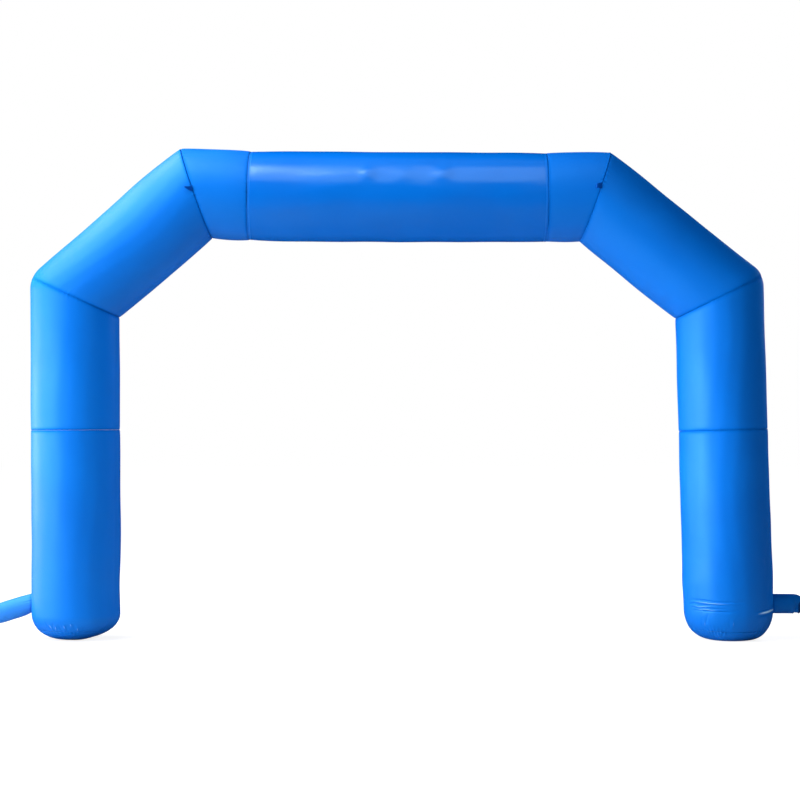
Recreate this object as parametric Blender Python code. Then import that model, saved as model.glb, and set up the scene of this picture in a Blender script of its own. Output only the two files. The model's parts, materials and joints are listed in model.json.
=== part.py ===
"""Air-blown event arch: two legs, two diagonals and a beam of round cloth tube, with an open
blower sleeve at the left foot, a tied-off sleeve at the right foot and a webbing anchor tab on
the front of each shoulder.

Metres, +Z up. The arch stands in the XZ plane and faces -Y. The origin is on the ground, midway
between the ends of the two sleeves. Each panel is a thin open-ended shell of cloth, a seam's gap
away from the next one.
"""

import math
from typing import NamedTuple

import bmesh
import bpy
from mathutils import Vector

# Tube and cloth
TUBE_RADIUS = 0.357
CLOTH = 0.002
SEAM_GAP = 0.0003
TUBE_SIDES = 36

# Seam across each straight leg
LEG_SEAM_HEIGHT = 1.685

# Rounding of the knees: the rings that follow it, and how far from the corner they reach
BEND_REACH = 0.12
BEND_RINGS = 3

# Feet: the wall rolls under as a quarter ellipse, and lies flat inside it
BASE_SEAM_HEIGHT = 0.08
ROLL_RINGS = 4
WALL_STEPS = 5

# Blower sleeve on the left foot: it slopes down, then runs level to an open hemmed mouth
SLEEVE_REACH = 3.45
SLEEVE_SIDES = 20
SLEEVE_CLEARANCE = 0.0005
INLET_RADIUS = 0.0765
INLET_ROOT_HEIGHT = 0.288
INLET_MOUTH_HEIGHT = 0.195
INLET_CORNER_X = -3.27
INLET_BEND_RADIUS = 0.5
INLET_BEND_RINGS = 4
HEM_LENGTH = 0.03
HEM_EXTRA = 0.002

# Vent sleeve on the right foot, gathered at its neck by a tie
TAIL_LOBES = 5
TIE_X = 3.207
TIE_WIDTH = 0.014
TIE_THICKNESS = 0.006
TIE_CLEARANCE = 0.0004

# Anchor tabs: webbing folded into a loop, its two ends sewn down together
TAB_LENGTH = 0.058
TAB_HEIGHT = 0.045
TAB_LOOP_RADIUS = 0.008
TAB_WEBBING = 0.0025
TAB_LEAN = math.radians(24)
TAB_ARC_STEPS = 10
TAB_LIFT = {"left": 0.0, "right": 0.056}

BLUE = (0.0, 0.19, 0.74)
NAVY = (0.01, 0.05, 0.20)


class Corner(NamedTuple):
    """A corner of the tube's centreline, and the radius that rounds the outside of the bend."""

    x: float
    z: float
    outer_radius: float


class Foot(NamedTuple):
    """The height of a leg's roll, and how far it goes under at each side and at front and back."""

    height: float
    outer_roll: float
    inner_roll: float
    front_roll: float


class Section(NamedTuple):
    """An oval section of the tied sleeve, with the depth of its flutes and its wall."""

    x: float
    z: float
    half_height: float
    half_depth: float
    flute: float
    wall: float


CORNERS = {
    "foot_left": Corner(-2.630, 0.0, 0.0),
    "knee_left": Corner(-2.645, 2.760, 0.22),
    "shoulder_left": Corner(-1.662, 3.600, 0.0),
    "beam_left": Corner(-1.232, 3.582, 0.0),
    "beam_right": Corner(1.169, 3.568, 0.0),
    "shoulder_right": Corner(1.569, 3.571, 0.0),
    "knee_right": Corner(2.570, 2.762, 0.20),
    "foot_right": Corner(2.643, 0.0, 0.0),
}

FEET = {
    "left": Foot(height=0.205, outer_roll=0.268, inner_roll=0.310, front_roll=0.260),
    "right": Foot(height=0.235, outer_roll=0.191, inner_roll=0.208, front_roll=0.144),
}

VENT_ROOT = Section(x=3.05, z=0.283, half_height=0.078, half_depth=0.078, flute=0.0, wall=CLOTH)
VENT_SECTIONS = (
    Section(x=3.150, z=0.282, half_height=0.079, half_depth=0.077, flute=0.0, wall=CLOTH),
    Section(x=3.180, z=0.277, half_height=0.073, half_depth=0.064, flute=0.02, wall=0.003),
    Section(x=3.198, z=0.263, half_height=0.056, half_depth=0.030, flute=0.03, wall=0.010),
    Section(x=3.216, z=0.263, half_height=0.056, half_depth=0.030, flute=0.03, wall=0.010),
    Section(x=3.240, z=0.266, half_height=0.064, half_depth=0.038, flute=0.10, wall=0.004),
    Section(x=3.330, z=0.262, half_height=0.080, half_depth=0.050, flute=0.20, wall=CLOTH),
    Section(x=3.450, z=0.250, half_height=0.088, half_depth=0.058, flute=0.28, wall=CLOTH),
)


def spine(name):
    """A corner of the centreline as a point."""
    corner = CORNERS[name]
    return Vector((corner.x, 0.0, corner.z))


def outward(travel):
    """The way out of the arch, square to a tube that is followed from the left foot to the right."""
    return Vector((-travel.z, 0.0, travel.x))


def angles(sides):
    return [math.tau * step / sides for step in range(sides)]


def round_ring(centre, travel, radius, sides=TUBE_SIDES):
    """A circle square to the tube. Angle 0 is its outer side, and a quarter turn on is its front."""
    return [
        centre
        + outward(travel) * radius * math.cos(angle)
        - Vector((0.0, radius * math.sin(angle), 0.0))
        for angle in angles(sides)
    ]


class Bend:
    """A mitred corner of the tube, whose outer side the air pressure rounds."""

    def __init__(self, before, name, after):
        self.corner = spine(name)
        self.arriving = (self.corner - spine(before)).normalized()
        self.leaving = (spine(after) - self.corner).normalized()
        self.half_turn = self.arriving.angle(self.leaving) / 2
        self.out = (outward(self.arriving) + outward(self.leaving)).normalized()
        self.along = (self.arriving + self.leaving).normalized()
        self.outer_radius = CORNERS[name].outer_radius

    def point(self, angle, radius, distance, after):
        """The line at this angle round the tube, at this distance before or after its corner."""
        offset = radius * math.cos(angle) / math.cos(self.half_turn)
        depth = Vector((0.0, -radius * math.sin(angle), 0.0))
        vertex = self.corner + self.out * offset + depth
        rounding = self.outer_radius * ((1 + math.cos(angle)) / 2) ** 2 - (TUBE_RADIUS - radius)
        rounding = max(rounding, 0.0)
        tangent = rounding * math.tan(self.half_turn)
        if distance >= tangent:
            return vertex + (self.leaving if after else -self.arriving) * distance
        centre = vertex - self.out * rounding / math.cos(self.half_turn)
        swing = self.half_turn * distance / tangent
        along = self.along if after else -self.along
        return centre + rounding * (self.out * math.cos(swing) + along * math.sin(swing))

    def rings(self, radius, after):
        """Rings from the seam in the corner's mitre plane to the end of the bend."""
        first = SEAM_GAP / 2 / math.cos(self.half_turn)
        last = BEND_RINGS if self.outer_radius else 0
        distances = [first] + [BEND_REACH * step / BEND_RINGS for step in range(1, last + 1)]
        return [
            [self.point(angle, radius, distance, after) for angle in angles(TUBE_SIDES)]
            for distance in distances
        ]


BENDS = {
    "knee_left": Bend("foot_left", "knee_left", "shoulder_left"),
    "shoulder_left": Bend("knee_left", "shoulder_left", "beam_left"),
    "beam_left": Bend("shoulder_left", "beam_left", "beam_right"),
    "beam_right": Bend("beam_left", "beam_right", "shoulder_right"),
    "shoulder_right": Bend("beam_right", "shoulder_right", "knee_right"),
    "knee_right": Bend("shoulder_right", "knee_right", "foot_right"),
}

LEG_TRAVEL = {
    "left": (spine("knee_left") - spine("foot_left")).normalized(),
    "right": (spine("foot_right") - spine("knee_right")).normalized(),
}
OUTSIDE = {"left": -1.0, "right": 1.0}


def on_leg(side, height):
    """The point of a leg's centreline at this height."""
    foot, knee = spine("foot_" + side), spine("knee_" + side)
    return foot.lerp(knee, height / knee.z)


def roll_swing(side, height, inset):
    """How far round the roll this height is: 0 is the roll's top, a quarter turn its flat."""
    top = FEET[side].height
    return math.asin(max(top - height, 0.0) / (top - inset))


def wall_reach(side, angle, swing, inset):
    """How far a leg's wall is from its centreline at this angle round it."""
    foot = FEET[side]
    across = foot.outer_roll if math.cos(angle) > 0 else foot.inner_roll
    roll = across * math.cos(angle) ** 2 + foot.front_roll * math.sin(angle) ** 2
    return TUBE_RADIUS - roll + (roll - inset) * math.cos(swing)


def roll_ring(side, inset, swing):
    """A level ring of the rolled foot."""
    top = FEET[side].height
    centre = on_leg(side, top - (top - inset) * math.sin(swing))
    ring = []
    for angle in angles(TUBE_SIDES):
        across = Vector((OUTSIDE[side] * math.cos(angle), -math.sin(angle), 0.0))
        ring.append(centre + across * wall_reach(side, angle, swing, inset))
    return ring


def swings(start, end):
    return [start + (end - start) * step / ROLL_RINGS for step in range(ROLL_RINGS + 1)]


def leg_lower_rings(side, inset):
    seam_step = LEG_TRAVEL[side] * SEAM_GAP / 2 * -OUTSIDE[side]
    top = round_ring(
        on_leg(side, LEG_SEAM_HEIGHT) - seam_step, LEG_TRAVEL[side], TUBE_RADIUS - inset
    )
    base = roll_swing(side, BASE_SEAM_HEIGHT + SEAM_GAP / 2, inset)
    return [top] + [roll_ring(side, inset, swing) for swing in swings(0.0, base)]


def leg_upper_rings(side, inset):
    seam_step = LEG_TRAVEL[side] * SEAM_GAP / 2 * -OUTSIDE[side]
    bottom = round_ring(
        on_leg(side, LEG_SEAM_HEIGHT) + seam_step, LEG_TRAVEL[side], TUBE_RADIUS - inset
    )
    knee = BENDS["knee_" + side].rings(TUBE_RADIUS - inset, after=side == "right")
    return [bottom] + knee[::-1]


def diagonal_rings(side, inset):
    knee = BENDS["knee_" + side].rings(TUBE_RADIUS - inset, after=side == "left")
    shoulder = BENDS["shoulder_" + side].rings(TUBE_RADIUS - inset, after=side == "right")
    return knee + shoulder[::-1]


def beam_side_rings(side, inset):
    shoulder = BENDS["shoulder_" + side].rings(TUBE_RADIUS - inset, after=side == "left")
    return shoulder + BENDS["beam_" + side].rings(TUBE_RADIUS - inset, after=side == "right")


def beam_centre_rings(inset):
    left = BENDS["beam_left"].rings(TUBE_RADIUS - inset, after=True)
    return left + BENDS["beam_right"].rings(TUBE_RADIUS - inset, after=False)


def foot_base_rings(side, inset):
    """From the base seam under the roll to the flat, and in to its middle."""
    start = roll_swing(side, BASE_SEAM_HEIGHT - SEAM_GAP / 2, inset)
    rings = [roll_ring(side, inset, swing) for swing in swings(start, math.pi / 2)]
    return rings + [[on_leg(side, inset)] * TUBE_SIDES]


def wall_x(side, height, depth):
    """Just off the outer side of a leg's wall, at this height and this far from its middle plane."""
    swing = roll_swing(side, height, 0.0)
    reach = TUBE_RADIUS
    for _ in range(WALL_STEPS):
        reach = wall_reach(side, math.asin(-depth / reach), swing, 0.0) + SLEEVE_CLEARANCE
    return on_leg(side, height).x + OUTSIDE[side] * math.sqrt(reach**2 - depth**2)


def trimmed_to_leg(side, ring, travel):
    """A sleeve's ring, each point slid along the sleeve to just off the leg's wall."""
    trimmed = []
    for point in ring:
        slide = (wall_x(side, point.z, point.y) - point.x) / travel.x
        trimmed.append(point + travel * slide)
    return trimmed


def inlet_path():
    """The level corner's arc on the inlet's centreline, as (point, direction) pairs, to its mouth."""
    root = Vector((on_leg("left", INLET_ROOT_HEIGHT).x - TUBE_RADIUS, 0.0, INLET_ROOT_HEIGHT))
    corner = Vector((INLET_CORNER_X, 0.0, INLET_MOUTH_HEIGHT))
    slope, level = (corner - root).normalized(), Vector((-1.0, 0.0, 0.0))
    turn = slope.angle(level)
    centre = corner + level * INLET_BEND_RADIUS * math.tan(turn / 2)
    centre.z += INLET_BEND_RADIUS
    path = [(root, slope)]
    for step in range(INLET_BEND_RINGS + 1):
        left = turn * (1 - step / INLET_BEND_RINGS)
        spoke = Vector((math.sin(left), 0.0, -math.cos(left)))
        travel = Vector((-math.cos(left), 0.0, -math.sin(left)))
        path.append((centre + spoke * INLET_BEND_RADIUS, travel))
    return path


def inlet_rings(inset, hem):
    """The blower sleeve's rings, with the hem standing out around its mouth."""
    path = inlet_path()
    radius = INLET_RADIUS - inset
    root, slope = path[0]
    rings = [trimmed_to_leg("left", round_ring(root, slope, radius, SLEEVE_SIDES), slope)]
    rings += [round_ring(point, travel, radius, SLEEVE_SIDES) for point, travel in path[1:]]
    level = path[-1][1]
    for reach, extra in ((HEM_LENGTH, 0.0), (HEM_LENGTH, hem), (0.0, hem)):
        spot = Vector((reach - SLEEVE_REACH, 0.0, INLET_MOUTH_HEIGHT))
        rings.append(round_ring(spot, level, radius + extra, SLEEVE_SIDES))
    return rings


def vent_ring(section, inset):
    """An oval, fluted ring of the tied sleeve. inset is 0 on the outside, 1 on the inside."""
    wall = section.wall * inset
    ring = []
    for angle in angles(SLEEVE_SIDES):
        flute = 1 + section.flute * math.cos(TAIL_LOBES * angle)
        height = (section.half_height - wall) * math.cos(angle) * flute
        depth = (section.half_depth - wall) * math.sin(angle) * flute
        ring.append(Vector((section.x, -depth, section.z + height)))
    return ring


def vent_rings(inset):
    travel = Vector((1.0, 0.0, 0.0))
    root = trimmed_to_leg("right", vent_ring(VENT_ROOT, inset), travel)
    return [root] + [vent_ring(section, inset) for section in VENT_SECTIONS]


def tie_rings(inset):
    """The tie's two edges, just off the neck on the inside."""
    neck = next(section for section in VENT_SECTIONS if section.x > TIE_X)
    grow = TIE_CLEARANCE + TIE_THICKNESS * (1 - inset)
    grown = neck._replace(half_height=neck.half_height + grow, half_depth=neck.half_depth + grow)
    edges = (TIE_X - TIE_WIDTH / 2, TIE_X + TIE_WIDTH / 2)
    return [vent_ring(grown._replace(x=edge), 0.0) for edge in edges]


def make_material(name, colour, roughness):
    material = bpy.data.materials.new(name)
    material.use_nodes = True
    shader = material.node_tree.nodes["Principled BSDF"]
    shader.inputs["Base Color"].default_value = (*colour, 1.0)
    shader.inputs["Roughness"].default_value = roughness
    shader.inputs["Metallic"].default_value = 0.0
    return material


class Arch:
    """The collection and the empty that carry the arch's pieces."""

    def __init__(self):
        self.collection = bpy.data.collections.new("inflatable_arch")
        bpy.context.scene.collection.children.link(self.collection)
        self.base = bpy.data.objects.new("arch_base", None)
        self.collection.objects.link(self.base)

    def place(self, name, data, location, material):
        piece = bpy.data.objects.new(name, data)
        piece.location = location
        piece.parent = self.base
        data.materials.append(material)
        self.collection.objects.link(piece)
        return piece

    def add_shell(self, name, outer, inner, location, material):
        """A cloth shell, lofted out along its outer rings and back along its inner ones."""
        mesh = bpy.data.meshes.new(name)
        shell = bmesh.new()
        rows = [[shell.verts.new(point - location) for point in ring] for ring in outer + inner[::-1]]
        for row, following in zip(rows, rows[1:] + rows[:1]):
            for here in range(len(row)):
                beside = (here + 1) % len(row)
                shell.faces.new((row[here], row[beside], following[beside], following[here]))
        bmesh.ops.remove_doubles(shell, verts=shell.verts, dist=1e-6)
        bmesh.ops.recalc_face_normals(shell, faces=shell.faces)
        shell.to_mesh(mesh)
        shell.free()
        mesh.shade_smooth()
        mesh.set_sharp_from_angle(angle=math.radians(35))
        return self.place(name, mesh, location, material)

    def add_side(self, side, cloth):
        """One leg, its diagonal and its stretch of the beam."""
        shells = {
            "foot_base": (foot_base_rings, spine("foot_" + side)),
            "leg_lower": (leg_lower_rings, on_leg(side, BASE_SEAM_HEIGHT)),
            "leg_upper": (leg_upper_rings, on_leg(side, LEG_SEAM_HEIGHT)),
            "diagonal": (diagonal_rings, spine("knee_" + side)),
            "beam_side": (beam_side_rings, spine("shoulder_" + side)),
        }
        for name, (rings, location) in shells.items():
            self.add_shell(f"{name}_{side}", rings(side, 0.0), rings(side, CLOTH), location, cloth)

    def add_tab(self, side, webbing):
        """A teardrop loop of webbing, standing off the front of the shoulder towards -X.

        Its foot, the part of it nearest to the tube's middle, just clears the frontmost facet.
        """
        outline = bpy.data.curves.new("anchor_tab_" + side, "CURVE")
        outline.dimensions = "2D"
        outline.fill_mode = "BOTH"
        outline.extrude = TAB_HEIGHT / 2
        for points in (tab_outline(TAB_WEBBING), tab_outline(0.0)):
            spline = outline.splines.new("POLY")
            spline.points.add(len(points) - 1)
            spline.use_cyclic_u = True
            for spot, (x, y) in zip(spline.points, points):
                spot.co = (x, y, 0.0, 1.0)
        bend = BENDS["shoulder_" + side]
        location = bend.corner + bend.out * TAB_LIFT[side] / bend.out.z
        foot = max(TAB_LIFT[side] - TAB_HEIGHT / 2, 0.0)
        wall = TUBE_RADIUS - foot * math.tan(math.pi / TUBE_SIDES)
        location.y = -(wall + SEAM_GAP + TAB_WEBBING * math.cos(TAB_LEAN))
        tab = self.place("anchor_tab_" + side, outline, location, webbing)
        tab.rotation_euler.z = math.pi + TAB_LEAN


def tab_outline(thickness):
    """The tab from above: straight sides from the sewn end at the origin, round a loop at +X."""
    loop_x = TAB_LENGTH - TAB_LOOP_RADIUS - TAB_WEBBING
    radius = TAB_LOOP_RADIUS + thickness
    half_mouth = math.acos(TAB_LOOP_RADIUS / loop_x)
    points = []
    for step in range(TAB_ARC_STEPS + 1):
        angle = (math.pi - half_mouth) * (1 - 2 * step / TAB_ARC_STEPS)
        points.append((loop_x + radius * math.cos(angle), radius * math.sin(angle)))
    if thickness:
        return points + [(0.0, -thickness), (0.0, thickness)]
    return points + [(TAB_LENGTH / 3, 0.0)]


def main():
    for leftover in list(bpy.data.objects):
        bpy.data.objects.remove(leftover)
    arch = Arch()
    cloth = make_material("arch_cloth", BLUE, 0.45)
    webbing = make_material("anchor_webbing", BLUE, 0.7)
    cord = make_material("tie_cord", NAVY, 0.8)
    for side in ("left", "right"):
        arch.add_side(side, cloth)
        arch.add_tab(side, webbing)
    middle = spine("beam_left").lerp(spine("beam_right"), 0.5)
    arch.add_shell("beam_centre", beam_centre_rings(0.0), beam_centre_rings(CLOTH), middle, cloth)
    inlet_root = inlet_path()[0][0]
    arch.add_shell(
        "sleeve_inlet", inlet_rings(0.0, HEM_EXTRA), inlet_rings(CLOTH, 0.0), inlet_root, cloth
    )
    vent_root = Vector((VENT_ROOT.x, 0.0, VENT_ROOT.z))
    arch.add_shell("sleeve_vent", vent_rings(0), vent_rings(1), vent_root, cloth)
    tie_spot = Vector((TIE_X, 0.0, VENT_ROOT.z))
    arch.add_shell("sleeve_tie", tie_rings(0), tie_rings(1), tie_spot, cord)


main()
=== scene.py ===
"""The looks of the inflatable arch: sewn cloth panels, sleeves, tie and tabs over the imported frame.

Metres, +Z up, and the arch faces -Y. A panel is a grid of points: its rows follow the tube from
the left foot to the right, and its columns go round it from the outer side over the front.
"""

import json
from collections import namedtuple
from functools import reduce
from math import acos, asin, ceil, cos, pi, radians, sin, tan, tau

import bpy
import numpy as np
from mathutils import Euler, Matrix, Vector
from numpy.linalg import norm


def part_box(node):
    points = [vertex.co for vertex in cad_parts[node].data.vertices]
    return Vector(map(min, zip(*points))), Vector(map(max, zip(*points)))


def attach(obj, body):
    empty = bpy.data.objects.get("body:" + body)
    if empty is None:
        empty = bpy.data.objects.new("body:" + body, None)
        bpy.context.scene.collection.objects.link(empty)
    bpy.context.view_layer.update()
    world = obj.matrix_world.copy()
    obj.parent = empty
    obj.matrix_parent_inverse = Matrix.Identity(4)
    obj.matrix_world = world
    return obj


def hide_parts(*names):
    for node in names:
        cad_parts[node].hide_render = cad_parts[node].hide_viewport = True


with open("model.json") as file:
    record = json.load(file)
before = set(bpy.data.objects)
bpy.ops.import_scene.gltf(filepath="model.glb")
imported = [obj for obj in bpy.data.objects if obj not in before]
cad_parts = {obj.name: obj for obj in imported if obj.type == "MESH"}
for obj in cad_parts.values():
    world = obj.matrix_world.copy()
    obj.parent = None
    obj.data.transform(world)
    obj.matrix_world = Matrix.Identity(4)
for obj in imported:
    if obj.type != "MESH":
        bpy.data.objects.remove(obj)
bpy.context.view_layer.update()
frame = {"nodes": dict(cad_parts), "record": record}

# The frame's seams and tube
SEAM_REACH = 0.001
PLANE_REACH = 0.0001
TUBE_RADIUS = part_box("leg_lower_left")[1].y
BACK = 3 * pi / 2
BACK_SEAM_AT = BACK * TUBE_RADIUS
OUTSIDE = {"left": -1.0, "right": 1.0}
FRONT, UP = np.array([0.0, -1.0, 0.0]), np.array([0.0, 0.0, 1.0])

# Columns round the tube: an even step, and a fine one beside the closing seam at the back
COLUMNS = 336
CLOSING_COLUMNS = (0.0015, 0.003, 0.005, 0.008, 0.012, 0.017, 0.023)

# Rows along the tube: close together by a seam, then an even step
SEAM_ROWS = (0.002, 0.004, 0.006, 0.009, 0.012, 0.016, 0.02, 0.025, 0.031, 0.038, 0.046,
             0.055, 0.065, 0.076, 0.088, 0.101, 0.115, 0.13)
ROW_STEP = 0.02

# Seams: the two edges are turned in, a little apart
HALF_SEAM = 0.0005
TURN_IN = 0.012
TURN_ROWS = (0.003, 0.007, TURN_IN)
GROOVE_REACH = 0.006
SLACK, SLACK_REACH = 0.0012, 0.04
LIP_AT, LIP_WIDTH = 0.007, 0.005
SHADE_REACH = 0.0035
RIM_REACH = 0.012
SIDE_POWER = 1.2
UNSTITCHED = 1.0

# Puckers are stronger and weaker in spells round a seam
SPELLS, SPELL_SHARE = 6, 0.5
WEAKEST, STRONGEST = 0.2, 2.0

# Air rounds the outside of each corner
OUTER_RADIUS = {"knee_left": 0.22, "shoulder_left": 0.03, "shoulder_right": 0.03, "knee_right": 0.2}

# Feet
BASE_SEAM_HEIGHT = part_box("leg_lower_left")[0].z
FINE_HEIGHT, FINE_STEP = 0.345, 0.004
ROLL_ROWS, SOLE_ROWS, FLAT_ROWS = 36, 26, 20
FLAT_END = 0.05
RELIEF_FADE = 0.03

# The cloth between its seams: how it bulges, and how uneven it is
BULGE = {"diagonal": 0.006, "beam": 0.003}
BULGE_REACH = 0.1
UNEVEN_WAVES, UNEVEN_HEIGHT = 14, 0.0004
UNEVEN_LENGTHS = (0.35, 1.2)
STREAKS, STREAK_HEIGHT = 16, 0.00025
STREAK_DRIFT, DRIFT_LENGTH = 0.12, 1.7
CREASE_POWER = 0.6
MM = 0.001


# The height of a leg's roll, and how far it goes under at each side and at front and back
Foot = namedtuple("Foot", "height outer_roll inner_roll front_roll")

# A seam's groove, its puckers, how much painted shade darkens the groove, how open it is on the
# tube's outer and inner side, and the raised lip of the panel before it
SeamLook = namedtuple(
    "SeamLook", "groove pucker waves spread shade outer inner lip", defaults=(1.0, 1.0, 0.0)
)

# A soft ridge, or with a minus a trough, along points of (degrees round the tube, height), in
# millimetres, and how strong a painted highlight it gets along its ridge
Crease = namedtuple("Crease", "depth width points wear", defaults=(0.0,))

# A soft swelling, or with a minus a dent, by its place along its panel and round the tube
Swell = namedtuple("Swell", "along degrees height half_length half_degrees")

FEET = {
    "left": Foot(height=0.205, outer_roll=0.252, inner_roll=0.362, front_roll=0.26),
    "right": Foot(height=0.235, outer_roll=0.191, inner_roll=0.208, front_roll=0.144),
}

SEAM_LOOKS = {
    "sole": SeamLook(0.0012, 0.0012, 58, 0.03, 0.1, outer=0.8, inner=0.8),
    "leg": SeamLook(0.004, 0.0003, 80, 0.02, 0.4, outer=0.7),
    "knee": SeamLook(0.0045, 0.0005, 70, 0.03, 0.55, outer=0.05),
    "shoulder_left": SeamLook(0.004, 0.0013, 58, 0.016, 0.55, inner=0.9, lip=0.0022),
    "shoulder_right": SeamLook(0.004, 0.0013, 58, 0.016, 0.5, inner=0.05, lip=0.0022),
    "beam_left": SeamLook(0.0012, 0.0006, 75, 0.02, 0.55, inner=0.8),
    "beam_right": SeamLook(0.0014, 0.0004, 75, 0.02, 0.5, inner=0.15, lip=0.0012),
    "back": SeamLook(0.003, 0.0, 1, 0.005, 0.5),
}

# Strengths of the painted highlight along crease ridges: faint and full
FAINT_CREASE_HIGHLIGHT, CREASE_HIGHLIGHT = 0.55, 0.62
CREASES = {
    "leg_lower_left": (
        (-3.8, 8, ((55, 160), (59, 118), (60, 90))),
        (4, 8, ((60, 150), (64, 100)), CREASE_HIGHLIGHT),
        (-4.2, 7, ((68, 158), (65, 120), (67, 84))),
        (4.2, 7, ((70, 140), (69, 86)), CREASE_HIGHLIGHT),
        (-4, 7, ((75, 150), (77, 90))),
        (4, 7, ((81, 150), (84, 95)), CREASE_HIGHLIGHT),
        (-4, 7, ((86, 140), (86, 86))),
        (4.4, 7, ((91, 160), (92, 120)), CREASE_HIGHLIGHT),
        (-3.6, 8, ((95, 145), (97, 86))),
        (4.4, 7, ((100, 125), (101, 86)), CREASE_HIGHLIGHT),
        (-3.2, 8, ((106, 120), (107, 84))),
    ),
    "leg_lower_right": (
        (-4.6, 6, ((158, 326), (146, 332), (128, 328), (112, 318), (96, 319), (76, 316))),
        (4.4, 6, ((158, 310), (142, 316), (120, 308), (100, 305), (84, 306)), CREASE_HIGHLIGHT),
        (-4.6, 5, ((157, 294), (146, 299), (136, 291), (122, 296), (104, 290))),
        (4.2, 5, ((156, 283), (147, 285), (139, 276), (128, 282), (112, 277)), CREASE_HIGHLIGHT),
        (-4.2, 5, ((152, 271), (140, 266), (130, 271), (114, 264), (100, 267))),
        (4.2, 5, ((150, 259), (138, 255), (129, 260), (118, 253), (104, 256)), CREASE_HIGHLIGHT),
        (-4.2, 5, ((148, 246), (137, 249), (129, 241), (118, 247), (104, 243), (84, 251))),
        (-2.6, 9, ((124, 236), (128, 170), (134, 110))),
        (-2.8, 7, ((134, 200), (137, 120))),
        (2.6, 7, ((130, 180), (133, 105)), FAINT_CREASE_HIGHLIGHT),
        (2.6, 7, ((92, 180), (93, 110)), FAINT_CREASE_HIGHLIGHT),
        (-2.6, 7, ((97, 190), (97, 110))),
        (5.8, 10, ((62, 221), (48, 230), (34, 238), (12, 249)), 1.0),
        (-5, 7, ((62, 240), (46, 250), (34, 255), (14, 268))),
        (-4.6, 7, ((62, 203), (46, 211), (34, 218), (16, 230))),
    ),
}

SWELLS = {
    "diagonal_left": ((1.22, 0, 0.015, 0.3, 55),),
    "diagonal_right": ((1.6, 0, 0.013, 0.16, 50),),
    "beam_side_left": ((0.25, 180, 0.01, 0.5, 60), (0.25, 0, 0.007, 0.5, 60)),
    "beam_side_right": ((0.25, 180, 0.006, 0.5, 60), (0.25, 0, 0.006, 0.5, 60)),
    "beam_centre": ((0.954, 66, 0.0075, 0.055, 9), (1.247, 68, 0.005, 0.085, 9),
                    (1.556, 65, 0.009, 0.07, 9), (0.8, 180, 0.008, 1.1, 60)),
    "leg_lower_left": ((0.75, 0, -0.004, 0.55, 70), (0.75, 180, 0.004, 0.55, 70),
                       (0.38, 180, -0.011, 0.16, 50)),
    "leg_lower_right": ((0.9, 0, 0.004, 0.6, 70), (1.2, 0, 0.007, 0.16, 60),
                        (1.21, 180, 0.008, 0.12, 60)),
}

PANELS = ("leg_upper_left", "diagonal_left", "beam_side_left", "beam_centre",
          "beam_side_right", "diagonal_right", "leg_upper_right")
LEG_SEAMS = {"left": ("sole_left", "leg_left"), "right": ("leg_right", "sole_right")}


def even_angles(count):
    return np.arange(count) * tau / count


def column_angles():
    even = even_angles(COLUMNS)
    fine = np.array(CLOSING_COLUMNS) / TUBE_RADIUS
    even = even[abs(even - BACK) > fine[-1] + pi / COLUMNS]
    return np.sort(np.concatenate([even, BACK - fine, [BACK], BACK + fine]))


ANGLES = column_angles()


def unit(vector):
    return vector / norm(vector)


def unit_rows(vectors):
    return vectors / norm(vectors, axis=1, keepdims=True)


def fade(distance, reach):
    """1 at no distance, and less and less beyond."""
    return np.exp(-distance / reach)


def bell(offset, reach):
    """1 in the middle, and down a bell's curve on both sides."""
    return np.exp(-((offset / reach) ** 2))


def cad_points(node):
    return np.array([vertex.co for vertex in frame["nodes"][node].data.vertices])


def seam_points(first, second):
    """The first CAD node's points that lie at its seam with the second."""
    mine, theirs = cad_points(first), cad_points(second)
    gaps = norm(mine[:, None] - theirs[None], axis=2).min(axis=1)
    return mine[gaps < SEAM_REACH]


def middle(points):
    return (points.min(axis=0) + points.max(axis=0)) / 2


def lowest(points):
    return points[points[:, 2].argmin()] * (1, 0, 1)


def crossing(start, travel, other_start, other_travel):
    """Where two lines in the arch's plane cross."""
    sides = np.array([travel, -other_travel])[:, [0, 2]].T
    along = np.linalg.solve(sides, (other_start - start)[[0, 2]])[0]
    return start + travel * along


def centreline():
    """The tube's centreline at its feet, its seams and its corners."""
    points = {m["name"]: np.array(m["pos_m"]) for m in frame["record"]["mounts"]}
    for side in OUTSIDE:
        foot = points["foot_" + side]
        leg = middle(seam_points("leg_lower_" + side, "leg_upper_" + side))
        knee_ring = seam_points("leg_upper_" + side, "diagonal_" + side)
        shoulder_ring = seam_points("diagonal_" + side, "beam_side_" + side)
        shoulder, diagonal = middle(shoulder_ring), lowest(shoulder_ring) - lowest(knee_ring)
        points["leg_" + side], points["shoulder_" + side] = leg, shoulder
        points["knee_" + side] = crossing(foot, leg - foot, shoulder, diagonal)
        points["beam_" + side] = middle(seam_points("beam_centre", "beam_side_" + side))
    return points


CENTRES = centreline()
ROUTE = ["foot_left", "leg_left", "knee_left", "shoulder_left", "beam_left"]
ROUTE += [name.replace("left", "right") for name in reversed(ROUTE)]
SEEDS = {name: seed for seed, name in enumerate(ROUTE + ["sole_left", "sole_right"])}


def outward(travel):
    """The way out of the arch, square to a tube that runs along travel."""
    return np.array([-travel[2], 0.0, travel[0]])


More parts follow.
